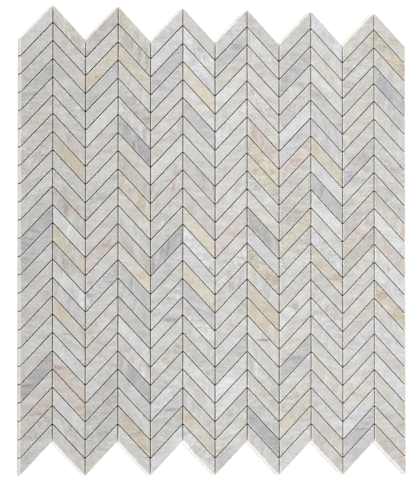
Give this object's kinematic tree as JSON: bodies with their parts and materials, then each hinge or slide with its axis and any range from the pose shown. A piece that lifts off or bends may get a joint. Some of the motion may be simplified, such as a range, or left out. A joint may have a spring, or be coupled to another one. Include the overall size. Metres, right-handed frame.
{
  "type": "chevron mosaic tile sheet",
  "caption": "Mesh-backed sheet of mitred marble chips laid in upright chevrons with open joints, bedded on walls or floors as one tile; zigzag ends interlock with the next sheet.",
  "frame": {"origin": "centre of the sheet's outline, on the plane that the mesh lies on", "axes": "+Z out of the polished face, +Y to the top of the chevrons, +X across the columns"},
  "size_m": [0.2788, 0.3272, 0.0095],
  "materials": {
    "marble": "honed satin, off-white with grey, honey and rose chips",
    "glass_fibre_mesh": "woven open mesh, resin-coated"
  },
  "bodies": {
    "root": {"chip_column_01": "marble", "chip_column_02": "marble", "chip_column_03": "marble", "chip_column_04": "marble", "chip_column_05": "marble", "chip_column_06": "marble", "chip_column_07": "marble", "chip_column_08": "marble", "chip_column_09": "marble", "chip_column_10": "marble", "chip_column_11": "marble", "chip_column_12": "marble", "mesh_warp": "glass_fibre_mesh", "mesh_weft": "glass_fibre_mesh"}
  },
  "joints": []
}
